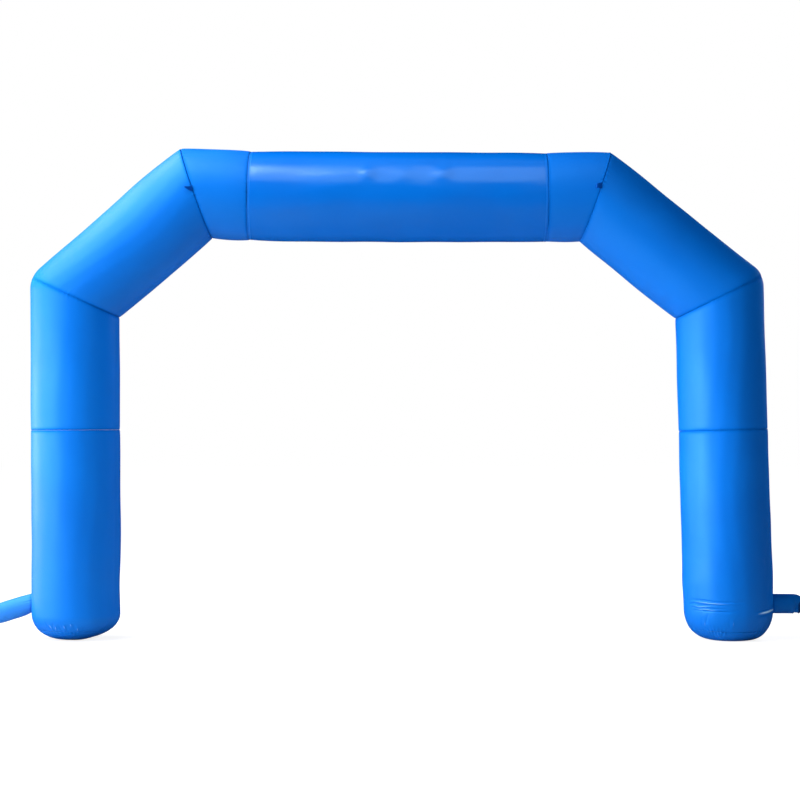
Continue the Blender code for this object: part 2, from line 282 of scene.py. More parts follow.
class Seam:
    """A seam round the tube, square to it on a straight stretch and mitred at a corner."""

    def __init__(self, name):
        place = ROUTE.index(name)
        before, self.centre, after = (CENTRES[ROUTE[place + step]] for step in (-1, 0, 1))
        self.arriving, self.leaving = unit(self.centre - before), unit(after - self.centre)
        self.half_turn = acos(min(1.0, self.arriving @ self.leaving)) / 2
        self.out = unit(outward(self.arriving) + outward(self.leaving))
        self.along = unit(self.arriving + self.leaving)
        self.outer_radius = OUTER_RADIUS.get(name, 0.0)

    def rows(self, after):
        """Rows of points beside the seam, from it outwards, on the panel after or before it."""
        angles, distances = ANGLES[None, :, None], np.array((HALF_SEAM, *SEAM_ROWS))[:, None, None]
        out = self.out * TUBE_RADIUS * np.cos(angles) / cos(self.half_turn)
        vertex = self.centre + out + FRONT * TUBE_RADIUS * np.sin(angles)
        straight = vertex + (self.leaving if after else -self.arriving) * distances
        if not self.outer_radius:
            return straight
        rounding = self.outer_radius * ((1 + np.cos(angles)) / 2) ** 2 + 1e-6
        tangent = rounding * tan(self.half_turn)
        swing = self.half_turn * np.minimum(distances / tangent, 1.0)
        along = self.along if after else -self.along
        hub = vertex - self.out * rounding / cos(self.half_turn)
        arc = hub + rounding * (self.out * np.cos(swing) + along * np.sin(swing))
        return np.where(distances < tangent, arc, straight)


SEAMS = {name: Seam(name) for name in ROUTE[1:-1]}

# Each seam's plane: the way square to it, and in it the way out of the arch
PLANES = {name: (seam.along, seam.out) for name, seam in SEAMS.items()}
PLANES.update({"sole_" + side: (UP, np.array([out, 0.0, 0.0])) for side, out in OUTSIDE.items()})


def on_leg(side, height):
    """The leg's centreline at these heights."""
    foot, knee = CENTRES["foot_" + side], CENTRES["knee_" + side]
    return foot + (knee - foot) * np.asarray(height)[..., None] / knee[2]


def roll_in(side, heights, roll):
    """How far out a leg's wall is at these heights, where its foot rolls under by this much."""
    height = FEET[side].height
    swing = np.arcsin(np.clip((height - heights) / height, 0, 1))
    return TUBE_RADIUS - roll * (1 - np.cos(swing))


def leg_rings(side, heights):
    """Level rings of a leg's wall, which rolls under as a quarter ellipse."""
    foot, heights, angles = FEET[side], np.asarray(heights)[:, None], ANGLES[None, :]
    across = np.where(np.cos(angles) > 0, foot.outer_roll, foot.inner_roll)
    roll = across * np.cos(angles) ** 2 + foot.front_roll * np.sin(angles) ** 2
    reach = roll_in(side, heights, roll)
    ring = [OUTSIDE[side] * np.cos(angles) * reach, -np.sin(angles) * reach, 0 * reach]
    return on_leg(side, heights[:, 0])[:, None] + np.stack(ring, axis=2)


def roll_rows(side, top, bottom, rows):
    """Rings down a foot's roll, at even swings round it."""
    height = FEET[side].height
    start, end = asin(1 - top / height), asin(1 - bottom / height)
    return leg_rings(side, height * (1 - np.sin(np.linspace(start, end, rows))))


def stretch(start, end):
    """Straight rows between two rings of points, at most ROW_STEP apart."""
    longest = norm(end - start, axis=1).max()
    shares = np.linspace(0, 1, ceil(longest / ROW_STEP) + 1)[1:-1]
    return start + (end - start) * shares[:, None, None]


def panel_points(start, end):
    """A panel between two seams."""
    first, last = SEAMS[start].rows(after=True), SEAMS[end].rows(after=False)[::-1]
    return np.concatenate([first, stretch(first[-1], last[0]), last])


def leg_points(side):
    """A lower leg, from its seam down to the seam above the flat of its foot."""
    height = FEET[side].height
    top = SEAMS["leg_" + side].rows(after=side == "right")
    fine = leg_rings(side, np.arange(FINE_HEIGHT, height + FINE_STEP / 2, -FINE_STEP))
    roll = roll_rows(side, height, BASE_SEAM_HEIGHT + HALF_SEAM, ROLL_ROWS)
    rows = np.concatenate([top, stretch(top[-1], fine[0]), fine, roll])
    return rows if side == "right" else rows[::-1]


def sole_points(side):
    """The sole, from its seam round its roll and in over its flat, just short of its middle."""
    roll = roll_rows(side, BASE_SEAM_HEIGHT - HALF_SEAM, 0.0, SOLE_ROWS)
    inwards = np.linspace(1.0, FLAT_END, FLAT_ROWS)[1:, None, None]
    flat = CENTRES["foot_" + side] + (roll[-1] - CENTRES["foot_" + side]) * inwards
    rows = np.concatenate([roll, flat])
    return rows if side == "right" else rows[::-1]


class Cloth:
    """A grid of points round a tube of cloth, and each point's distance from its two ends."""

    def __init__(self, points, angles=ANGLES, radius=TUBE_RADIUS):
        self.points, self.angles, self.radius = points, angles, radius
        steps = norm(np.diff(points, axis=0), axis=2)
        self.from_start = np.concatenate([0 * steps[:1], np.cumsum(steps, axis=0)])
        self.from_end = self.from_start[-1] - self.from_start
        self.seam = np.minimum(self.from_start, self.from_end)
        self.wear = np.zeros(self.seam.shape)
        self.shade = np.zeros(self.seam.shape)
        self.around = np.broadcast_to(angles * radius, self.seam.shape)
        self.along = self.from_start

    def normals(self):
        """Outward normals of the grid."""
        along = np.gradient(self.points, axis=0)
        around = np.roll(self.points, -1, axis=1) - np.roll(self.points, 1, axis=1)
        normals = np.cross(around, along)
        return normals / np.maximum(norm(normals, axis=2, keepdims=True), 1e-12)

    def push(self, amount, seams):
        """Moves the grid out along its normals, and beside each seam along the seam's plane."""
        directions = self.normals()
        for name, distance in seams:
            plane = PLANES[name][0]
            share = bell(distance, RIM_REACH)[..., None]
            directions = directions - share * (directions @ plane)[..., None] * plane
        self.points = self.points + directions * amount[..., None]

    def add_rows(self, rows, at_end):
        """Adds rows of points past one end, at that end's measures."""
        count, edge = len(rows), -1 if at_end else 0

        def joined(grid, extra):
            return np.concatenate([grid, extra] if at_end else [extra[::-1], grid])

        self.points = joined(self.points, rows)
        for name in ("seam", "wear", "shade", "around", "along"):
            grid = getattr(self, name)
            setattr(self, name, joined(grid, np.repeat(grid[edge][None], count, axis=0)))

    def turn_in(self, name, at_end):
        """Folds one end's edge in from its seam, in the seam's plane."""
        inwards = -PLANES[name][1] * np.cos(ANGLES)[:, None] - FRONT * np.sin(ANGLES)[:, None]
        edge = self.points[-1 if at_end else 0]
        self.add_rows(edge + inwards * np.array(TURN_ROWS)[:, None, None], at_end)


def ring_noise(seed, waves, angles=ANGLES):
    """Smooth noise round a tube, about this many waves to a turn, with a spread of 1."""
    rng = np.random.default_rng(seed)
    counts = np.arange(max(1, round(waves * 0.6)), round(waves * 1.4) + 1)
    phases = rng.uniform(0.0, tau, len(counts))
    noise = np.cos(angles[:, None] * counts + phases) @ rng.normal(size=len(counts))
    return noise / noise.std()


def seam_look(name):
    return SEAM_LOOKS.get(name) or SEAM_LOOKS[name.split("_")[0]]


def seam_depth(name):
    """How open a seam is in each column, from the tube's outer to its inner side."""
    look = seam_look(name)
    return look.outer + (look.inner - look.outer) * ((1 - np.cos(ANGLES)) / 2) ** SIDE_POWER


def paint_seam_shade(cloth, name, distance):
    """Darkens the cloth in a seam's groove."""
    shade = seam_look(name).shade * seam_depth(name) * bell(distance, SHADE_REACH)
    cloth.shade = np.maximum(cloth.shade, shade)


def seam_relief(name, distance, before):
    """The relief beside a seam, on the panel before it or the one after it."""
    look, depth = seam_look(name), seam_depth(name)
    spells = 1 + SPELL_SHARE * ring_noise([SEEDS[name], 1], SPELLS)
    puckers = look.pucker * np.clip(spells, WEAKEST, STRONGEST)
    relief = puckers * ring_noise([SEEDS[name], 2], look.waves) * fade(distance, look.spread)
    relief -= look.groove * depth * fade(distance, GROOVE_REACH)
    relief -= SLACK * depth * fade(distance, SLACK_REACH)
    if before:
        relief += look.lip * depth * bell(distance - LIP_AT, LIP_WIDTH)
    return relief


def unevenness(cloth, seed):
    """Broad low waves, and fine streaks that follow the tube."""
    rng = np.random.default_rng([seed, 3])
    relief = np.zeros(cloth.seam.shape)
    for _ in range(UNEVEN_WAVES):
        turns, phase = rng.integers(1, 6), rng.uniform(0.0, tau)
        length = rng.uniform(*UNEVEN_LENGTHS)
        relief += np.cos(turns * cloth.angles + tau * cloth.along / length + phase)
    relief *= UNEVEN_HEIGHT
    drift = STREAK_DRIFT * np.sin(tau * cloth.along / DRIFT_LENGTH + seed)
    streaks = ring_noise([seed, 4], STREAKS)
    around = np.mod(cloth.angles + drift, tau)
    return relief + STREAK_HEIGHT * np.interp(around, ANGLES, streaks, period=tau)


def crease_shape(crease, places):
    """A crease's height: full along its middle, and fading to its ends and sides."""
    spots = np.array([(radians(degrees) * TUBE_RADIUS, z * MM) for degrees, z in crease.points])
    lengths = norm(np.diff(spots, axis=0), axis=1)
    nearest, share = np.full(places.shape[:-1], np.inf), 0.0
    for place, (start, end) in enumerate(zip(spots, spots[1:])):
        step = (end - start) / lengths[place]
        run = np.clip((places - start) @ step, 0, lengths[place])
        gap = norm(places - start - run[..., None] * step, axis=-1)
        share = np.where(gap < nearest, (lengths[:place].sum() + run) / lengths.sum(), share)
        nearest = np.minimum(gap, nearest)
    return bell(nearest, crease.width * MM) * np.sin(pi * share) ** CREASE_POWER


def crease_relief(cloth, name):
    """A panel's creases, with a painted highlight along their ridges."""
    relief = np.zeros(cloth.seam.shape)
    places = np.stack([cloth.around, cloth.points[..., 2]], axis=-1)
    for crease in (Crease(*row) for row in CREASES.get(name, ())):
        shape = crease_shape(crease, places)
        relief += crease.depth * MM * shape
        # Paints a highlight along the crease's ridge
        cloth.wear = np.maximum(cloth.wear, crease.wear * shape)
    return relief


def swell_relief(cloth, name):
    """A panel's bulge under the air, and its own swellings and dents: none at its seams."""
    relief = np.full(cloth.seam.shape, BULGE.get(name.split("_")[0], 0.0))
    for swell in (Swell(*row) for row in SWELLS.get(name, ())):
        across = (np.degrees(cloth.angles) - swell.degrees + 180) % 360 - 180
        along = cloth.from_start - swell.along
        relief += swell.height * bell(along, swell.half_length) * bell(across, swell.half_degrees)
    for distance in (cloth.from_start, cloth.from_end):
        relief = relief * (1 - fade(distance, BULGE_REACH))
    return relief


def cloth_mesh(name, cloth, cap=None):
    """A mesh of the grid, closed round its columns. A cap closes its first or last row."""
    rows, columns = cloth.points.shape[:2]
    index = np.arange(rows * columns).reshape(rows, columns)
    beside = np.roll(index, -1, axis=1)
    faces = np.stack([index[:-1], beside[:-1], beside[1:], index[1:]], axis=-1)
    faces = faces.reshape(-1, 4).tolist()
    points = cloth.points.reshape(-1, 3).tolist()
    if cap is not None:
        fan = zip(index[cap].tolist(), beside[cap].tolist())
        faces += [(a, b, len(points)) if cap == -1 else (b, a, len(points)) for a, b in fan]
        points.append(cloth.points[cap].mean(axis=0).tolist())
    mesh = bpy.data.meshes.new(name)
    mesh.from_pydata(points, [], faces)
    add_measures(mesh, cloth)
    mesh.shade_smooth()
    return mesh


def add_measures(mesh, cloth):
    """A UV map in metres, each point's distance to the nearest seam, its painted highlight and its
    painted shade.
    """
    rows, columns = cloth.seam.shape
    cap_point = np.zeros(len(mesh.vertices) - rows * columns)
    corners = np.empty(len(mesh.loops), dtype=np.int64)
    mesh.loops.foreach_get("vertex_index", corners)
    u, v = (np.append(grid, cap_point)[corners] for grid in (cloth.around, cloth.along))
    turns = np.zeros((rows - 1, columns, 4))
    turns[:, -1, 1:3] = tau * cloth.radius
    u[: turns.size] += turns.reshape(-1)
    layer = mesh.uv_layers.new(name="metres")
    layer.data.foreach_set("uv", np.stack([u, v], axis=1).astype(np.float32).reshape(-1))
    for name in ("seam", "wear", "shade"):
        values = np.append(getattr(cloth, name), cap_point).astype(np.float32)
        mesh.attributes.new(name, "FLOAT", "POINT").data.foreach_set("value", values)


def add_object(name, data):
    added = bpy.data.objects.new(name, data)
    bpy.context.scene.collection.objects.link(added)
    return added


def add_piece(kind, node, cloth, material, cap=None):
    """A piece made from a grid, on the arch in place of the CAD node of its name."""
    mesh = cloth_mesh(node, cloth, cap)
    piece = add_object(f"{kind}_{node}", mesh)
    mesh.materials.append(material)
    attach(piece, "root")
    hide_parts(node)
    return piece


def finish_panel(cloth, name, seams, seed, material):
    """Gives a panel its relief and its painted seam shade, turns in its edges, and adds it as a
    piece.
    """
    ends, back = list(zip(seams, (cloth.from_start, cloth.from_end))), SEAM_LOOKS["back"]
    relief = -back.groove * fade(abs(ANGLES - BACK) * TUBE_RADIUS, back.spread)
    for at_end, (seam, distance) in enumerate(ends):
        relief = relief + seam_relief(seam, distance, before=at_end)
        paint_seam_shade(cloth, seam, distance)
    paint_seam_shade(cloth, "back", abs(cloth.around - BACK_SEAM_AT))
    relief += unevenness(cloth, seed) + crease_relief(cloth, name) + swell_relief(cloth, name)
    cloth.push(relief, ends)
    for at_end, seam in enumerate(seams):
        cloth.turn_in(seam, at_end)
    piece = add_piece("cloth", name, cloth, material)


def add_panel(name, material):
    """A panel between two seams of the tube."""
    place = PANELS.index(name) + 1
    seams = ROUTE[place : place + 2]
    finish_panel(Cloth(panel_points(*seams)), name, seams, SEEDS[seams[0]], material)


def add_leg(side, material):
    """A lower leg, from its seam to the seam round its foot. Only the first is stitched."""
    cloth = Cloth(leg_points(side))
    cloth.seam = cloth.from_start if side == "right" else cloth.from_end
    finish_panel(cloth, "leg_lower_" + side, LEG_SEAMS[side], SEEDS["foot_" + side], material)


def add_sole(side, material):
    """The sole, an oval whose rim curves up to the seam round the foot."""
    seam, seam_first = "sole_" + side, side == "right"
    cloth = Cloth(sole_points(side))
    from_seam = cloth.from_start if seam_first else cloth.from_end
    relief = seam_relief(seam, from_seam, before=not seam_first) + unevenness(cloth, SEEDS[seam])
    rise = np.clip(cloth.points[..., 2] / RELIEF_FADE, 0, 1)
    cloth.push(relief * rise * rise * (3 - 2 * rise), [(seam, from_seam)])
    cloth.seam = np.full(from_seam.shape, UNSTITCHED)
    paint_seam_shade(cloth, seam, from_seam)
    cap = -1 if seam_first else 0
    cloth.turn_in(seam, at_end=not seam_first)
    piece = add_piece("cloth", "foot_base_" + side, cloth, material, cap)


# Sleeves
SLEEVE_COLUMNS = 168
SLEEVE_ANGLES = even_angles(SLEEVE_COLUMNS)
SLEEVE_ROW = 0.005
ROOT_OVERLAP = 0.01
ROOT_FADE = 0.06
ROOT_PINCH, PINCH_REACH = 0.003, 0.012
RING_GAP = 0.01
SMOOTH_ROWS = 6


class Ripple(namedtuple("Ripple", "height waves reach seed")):
    """Uneven waves round a sleeve: how high, how many to a turn, and how far along they reach."""

    def round_it(self):
        return self.height * ring_noise(self.seed, self.waves, SLEEVE_ANGLES)

    def near(self, distance):
        return self.round_it() * fade(distance, self.reach)


# The blower sleeve: its gathers, its soft waves, and the hem round its mouth
INLET_SWELL = 0.005
INLET_GATHERS = Ripple(0.0012, 20, 0.035, (30, 1))
INLET_WAVES = Ripple(0.0012, 3, 0.1, (30, 2))
TWIST_HEIGHT, TWIST_WAVES, TWIST_LENGTH = 0.0008, 3, 0.19
HEM_LENGTH = 0.03
HEM_GAP = 0.003
HEM_OFF_SEAM = 0.001
HEM_STEP, HEM_EDGE = 0.0015, 0.0012
STITCHING_DENT, STITCHING_AT, STITCHING_WIDTH = 0.001, 0.004, 0.002
HEM_PUCKERS = Ripple(0.0006, 26, 0.012, (30, 3))

# The vent sleeve: full up to its neck, which is pleated under the tie, then a fluted tail
VENT_GATHERS = Ripple(0.001, 20, 0.03, (31, 2))
TAIL_REACH = 0.01
NECK_INSET = 0.006
NECK_HALF = 0.009
GATHER_REACH = 0.03
DEPTH_REACH = 0.045
TAIL_DEPTH, DEPTH_POWER = 0.022, 0.7
PLEAT_HEIGHT, PLEATS = 0.0028, 15
PLEAT_RIPPLE = Ripple(0.35, 24, 0.0, (31, 1))
PLEAT_REACH, PLEAT_RUN, TAIL_PLEATS = 0.03, 0.022, 0.45
NECK_PINCH = 0.0016
FLUTE_HEIGHT, FLUTES, FLUTE_TWIST, FLUTE_POWER = 0.012, 5, 0.5, 0.8
TAIL_RIPPLE = Ripple(0.004, 9, 0.0, (31, 3))
TAIL_SLANT = 0.006


def plane_edge(node, top):
    """A sleeve's upper or lower line in the arch's plane, from the leg outwards, as (x, z)."""
    points = cad_points(node)
    points = points[abs(points[:, 1]) < PLANE_REACH][:, [0, 2]]
    points = points[(points[:, 1] > points[:, 1].mean()) == top]
    points = points[np.argsort(abs(points[:, 0]))]
    breaks = np.flatnonzero(np.diff(abs(points[:, 0])) > RING_GAP) + 1
    pick = np.argmax if top else np.argmin
    return np.array([group[pick(group[:, 1])] for group in np.split(points, breaks)])


def smooth(values, reach):
    """A moving average over this many rows each way, with the ends kept."""
    padded = np.pad(values, ((reach, reach), (0, 0)), mode="edge")
    kernel = np.ones(2 * reach + 1) / (2 * reach + 1)
    return np.stack([np.convolve(column, kernel, mode="valid") for column in padded.T], axis=1)


class Sleeve:
    """A CAD sleeve's centreline and half heights, evenly from inside its leg to its end."""

    def __init__(self, side, node):
        self.leg = side
        upper, lower = plane_edge(node, True), plane_edge(node, False)
        centres, halves = (upper + lower) / 2, norm(upper - lower, axis=1) / 2
        halves[0] = halves[1]
        centres[0] -= unit(centres[1] - centres[0]) * ROOT_OVERLAP
        length = np.concatenate([[0.0], np.cumsum(norm(np.diff(centres, axis=0), axis=1))])
        self.distances = np.linspace(0, length[-1], ceil(length[-1] / SLEEVE_ROW) + 1)
        spots = np.stack([np.interp(self.distances, length, centres[:, i]) for i in (0, 1)], axis=1)
        if side == "left":
            spots[1:-1] = smooth(spots, SMOOTH_ROWS)[1:-1]
        self.centres = np.stack([spots[:, 0], 0 * spots[:, 0], spots[:, 1]], axis=1)
        self.halves = np.interp(self.distances, length, halves)
        self.travel = unit_rows(np.gradient(self.centres, axis=0))
        self.from_leg = np.maximum(self.distances - ROOT_OVERLAP, 0.0)[:, None]

    def grid(self, half_heights, half_depths):
        """Oval rings round the centreline. Angle 0 is the top, and a quarter turn on is the front.

        The first rows slide along X, so that the root follows the round wall of its leg.
        """
        out = OUTSIDE[self.leg]
        up = np.stack([-self.travel[:, 2], 0 * self.travel[:, 0], self.travel[:, 0]], axis=1) * out
        height = up[:, None] * (half_heights * np.cos(SLEEVE_ANGLES))[..., None]
        depth = FRONT * (half_depths * np.sin(SLEEVE_ANGLES))[..., None]
        points = self.centres[:, None] + height + depth
        root = points[round(ROOT_OVERLAP / SLEEVE_ROW)]
        reach = roll_in(self.leg, root[:, 2], FEET[self.leg].outer_roll)
        wall = on_leg(self.leg, root[:, 2])[:, 0] + out * np.sqrt(reach**2 - root[:, 1] ** 2)
        points[..., 0] += (wall - root[:, 0]) * bell(self.from_leg, ROOT_FADE)
        return points


def inlet_radius(sleeve, from_hem):
    """How far out the blower sleeve's cloth is: gathered at its leg, stepped at its hem."""
    from_leg = sleeve.from_leg
    radius = np.full((len(from_leg), SLEEVE_COLUMNS), sleeve.halves.min() + INLET_SWELL)
    radius += INLET_GATHERS.near(from_leg) - ROOT_PINCH * fade(from_leg, PINCH_REACH)
    radius += INLET_WAVES.round_it() - INLET_WAVES.near(from_leg)
    radius += TWIST_HEIGHT * np.cos(TWIST_WAVES * SLEEVE_ANGLES + tau * from_leg / TWIST_LENGTH)
    radius += HEM_STEP / (1 + np.exp(from_hem / HEM_EDGE))
    radius -= STITCHING_DENT * bell(from_hem + STITCHING_AT, STITCHING_WIDTH)
    return radius + HEM_PUCKERS.near(abs(from_hem))


def add_inlet(material):
    """The blower sleeve: gathered where it is sewn to the leg, hemmed at its open mouth."""
    sleeve = Sleeve("left", "sleeve_inlet")
    from_hem = (sleeve.distances[-1] - sleeve.distances)[:, None] - HEM_LENGTH
    radius, half = inlet_radius(sleeve, from_hem), sleeve.halves.min()
    cloth = Cloth(sleeve.grid(radius, radius)[:, ::-1], SLEEVE_ANGLES, half)
    cloth.seam = np.minimum(sleeve.from_leg, abs(from_hem) + HEM_OFF_SEAM) + 0 * cloth.seam
    inside = cloth.points[::-1][: round(HEM_LENGTH / SLEEVE_ROW) + 1]
    axis = sleeve.centres[::-1][: len(inside), None]
    cloth.add_rows(inside - (inside - axis) * HEM_GAP / half, at_end=True)
    piece = add_piece("cloth", "sleeve_inlet", cloth, material)


def vent_halves(sleeve, past_neck, tail):
    """The vent sleeve's half heights and half depths: round at the leg, drawn in at the neck."""
    full, neck_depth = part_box("sleeve_vent")[1].y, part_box("sleeve_tie")[1].y - NECK_INSET
    swell = 1 - bell(past_neck, DEPTH_REACH)
    depth = np.where(past_neck < 0, neck_depth + (full - neck_depth) * swell,
                     neck_depth + TAIL_DEPTH * tail**DEPTH_POWER)
    half = smooth(sleeve.halves[:, None], 1)
    shoulder = np.clip((-NECK_HALF - past_neck) / GATHER_REACH, 0, 1)
    neck = half[abs(past_neck).argmin()]
    rounded = neck + (sleeve.halves[1] - neck) * np.sqrt(1 - (1 - shoulder) ** 2)
    return np.maximum(half, rounded), depth


def vent_relief(sleeve, past_neck, tail):
    """The vent sleeve's pleats beside its neck, its gathers and its fluted tail."""
    angles, near_neck = SLEEVE_ANGLES, bell(past_neck, PLEAT_REACH)
    pleats = np.cos(PLEATS * angles + 1.4 * np.sin(angles) + 0.7 * np.sin(3 * angles))
    run = np.where(past_neck < 0, fade(np.maximum(-past_neck, 0.0), PLEAT_RUN),
                   np.maximum(near_neck, TAIL_PLEATS * (1 - tail)))
    relief = PLEAT_HEIGHT * (pleats + PLEAT_RIPPLE.round_it()) * run - NECK_PINCH * near_neck
    flutes = np.cos(FLUTES * angles + FLUTE_TWIST * tail + 0.6 * np.sin(2 * angles))
    relief += FLUTE_HEIGHT * flutes * tail**FLUTE_POWER
    relief += VENT_GATHERS.near(sleeve.from_leg) - ROOT_PINCH * fade(sleeve.from_leg, PINCH_REACH)
    return relief + TAIL_RIPPLE.round_it() * tail**2


def add_vent(material):
    """The vent sleeve: full of air up to its tied neck, and a loose fluted tail past it."""
    sleeve = Sleeve("right", "sleeve_vent")
    tie_low, tie_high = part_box("sleeve_tie")
    neck_x = (tie_low.x + tie_high.x) / 2
    past_neck = (sleeve.centres[:, 0] - neck_x)[:, None]
    tail = np.clip(past_neck / (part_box("sleeve_vent")[1].x - neck_x), 0, 1)
    half, depth = vent_halves(sleeve, past_neck, tail)
    relief = vent_relief(sleeve, past_neck, tail)
    points = sleeve.grid(half + relief, depth + relief)
    slant = TAIL_SLANT * (1 + np.sin(2 * SLEEVE_ANGLES + 1.0))
    points[..., 0] += TAIL_REACH * tail - slant * tail**3
    cloth = Cloth(points, SLEEVE_ANGLES, sleeve.halves[1])
    cloth.seam = sleeve.from_leg + 0 * cloth.seam
    piece = add_piece("cloth", "sleeve_vent", cloth, material)


# The tie: cord wound round the neck side by side, then back across its turns at the front
CORD_RADIUS = 0.0024
CORD_SIDES = 12
TIE_TURNS = 3
TIE_START = 0.05 * pi
CROSSING_TURN = 0.45
STEPS_A_TURN = 96
TUCK, TUCK_TURN = 0.006, 0.02


def cord_tube(path, radius):
    """A tube of cord along a path, as a grid of points."""
    travel = unit_rows(np.gradient(path, axis=0))
    side = unit_rows(np.cross(travel, (1.0, 0.0, 0.0)))
    lift = np.cross(side, travel)
    angles = even_angles(CORD_SIDES)
    ring = side[:, None] * np.cos(angles)[:, None] + lift[:, None] * np.sin(angles)[:, None]
    return Cloth(path[:, None] + ring * radius, angles, radius)


def add_tie(material):
    """The tie, with both its ends tucked under its turns."""
    low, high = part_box("sleeve_tie")
    centre, all_turns = (low + high) / 2, TIE_TURNS + CROSSING_TURN
    turns = np.linspace(0, all_turns, round(STEPS_A_TURN * all_turns) + 1)
    back = np.clip((turns - TIE_TURNS) / CROSSING_TURN, 0, 1)
    first, last = low.x + CORD_RADIUS, high.x - CORD_RADIUS
    x = np.where(back > 0, last + (first - last) * back, first + (last - first) * turns / TIE_TURNS)
    lift = 2 * CORD_RADIUS * np.sin(pi * back) ** 0.5 - CORD_RADIUS
    lift -= TUCK * (fade(turns, TUCK_TURN) + fade(turns[-1] - turns, TUCK_TURN))
    angle = TIE_START + turns * tau
    y = -((high.y - low.y) / 2 + lift) * np.sin(angle)
    z = centre.z + ((high.z - low.z) / 2 + lift) * np.cos(angle)
    cloth = cord_tube(np.stack([x, y, z], axis=1), CORD_RADIUS)
    add_piece("cord", "sleeve_tie", cloth, material)


# Anchor tabs
TAB_LEAN = radians(24)
TAB_STEPS = 40
TAB_FOOT = 0.004
TAB_GIRTH = 0.094
LOOP_HALF = 0.01105
LOOP_POWER, BELLY_POWER = 0.8, 0.9
PLY_GAP = 0.0016
TIP_LEAN = 0.5
WEBBING = 0.0022
WIDTH_STEPS = 18
RIB_HEIGHT, RIBS = 0.00018, 9
EDGE_SHARE, EDGE_THICKNESS = 0.06, 0.35


# How far a tab stretches out, droops and twists to its tip, and its height there as a share
TabLook = namedtuple("TabLook", "stretch droop twist tip_share")
TAB_LOOKS = {
    "left": TabLook(stretch=0.009, droop=-0.012, twist=0.55, tip_share=0.22),
    "right": TabLook(stretch=-0.007, droop=0.008, twist=-0.15, tip_share=0.75),
}


def tab_grid(side):
    """The webbing as a closed strip: along its teardrop loop, and round its flat section."""
    low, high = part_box("anchor_tab_" + side)
    along = np.array([-cos(TAB_LEAN), -sin(TAB_LEAN), 0.0])
    across = np.array([sin(TAB_LEAN), -cos(TAB_LEAN), 0.0])
    points, look = cad_points("anchor_tab_" + side), TAB_LOOKS[side]
    reach = points @ along
    foot = points[reach < reach.min() + TAB_FOOT].mean(axis=0)
    foot[2] = (low.z + high.z) / 2
    length = reach.max() - reach.min() + look.stretch
    swing = pi * np.linspace(0, 1, TAB_STEPS)
    tip = np.sin(swing) ** LOOP_POWER
    tip[[0, -1]] = 0.0
    belly = -LOOP_HALF * np.cos(swing) * np.sin(swing) ** BELLY_POWER
    belly -= PLY_GAP * np.sign(np.cos(swing))
    centre = foot + along * length * tip[:, None] + across * belly[:, None]
    centre[:, 2] -= look.droop * tip**2
    normal = unit_rows(np.cross(UP, unit_rows(np.gradient(centre, axis=0))))
    half = (high.z - low.z) / 2 * (1 - (1 - look.tip_share) * tip)
    rise, shift = half * np.cos(look.twist * tip), half * np.sin(look.twist * tip) * TIP_LEAN
    sides = UP * rise[:, None] + along * shift[:, None]
    lines = [centre + sides * width + normal * depth for width, depth in webbing_section()]
    return np.stack(lines, axis=1)


def webbing_section():
    """A strip's section as (share of its half width, depth), up its front and down its back."""
    widths = np.linspace(-1.0, 1.0, WIDTH_STEPS)
    ribs = RIB_HEIGHT * np.cos(widths * RIBS * tau)
    depths = (WEBBING / 2 + ribs) * np.clip((1 - abs(widths)) / EDGE_SHARE, EDGE_THICKNESS, 1.0)
    return list(zip(widths, depths)) + list(zip(widths, -depths))[::-1]


def add_tab(side, material):
    """An anchor tab: webbing folded into a loop, its two ends sewn into the shoulder seam."""
    grid = tab_grid(side)
    cloth = Cloth(grid, even_angles(grid.shape[1]), TAB_GIRTH / tau)
    add_piece("webbing", "anchor_tab_" + side, cloth, material)


# Cloth and thread
DRIFT = (0.15, 0.85)
WEAVE_PITCH = 0.0014
WEAVE_TONE, WEAVE_HEIGHT = 0.1, 0.00004
STITCH_LENGTH = 0.0075
STITCH_SHARE = 0.72
STITCH_ROWS = (0.005, 0.0105)
STITCH_HEIGHT = 0.00025
THREAD_HALF_WIDTH = 0.0008
MIX_FIRST, MIX_SECOND, MIX_RESULT = 6, 7, 2


class Nodes:
    """A node tree, built one node at a time."""

    def __init__(self, owner):
        owner.use_nodes = True
        self.tree = owner.node_tree

    def put(self, socket, value):
        """Sets a socket to a value, or links it to an output."""
        if isinstance(value, bpy.types.NodeSocket):
            self.tree.links.new(value, socket)
        else:
            socket.default_value = value

    def add(self, kind, inputs=(), output=0, **settings):
        node = self.tree.nodes.new("ShaderNode" + kind)
        for name, value in settings.items():
            setattr(node, name, value)
        for key, value in dict(inputs).items():
            self.put(node.inputs[key], value)
        return node.outputs[output]


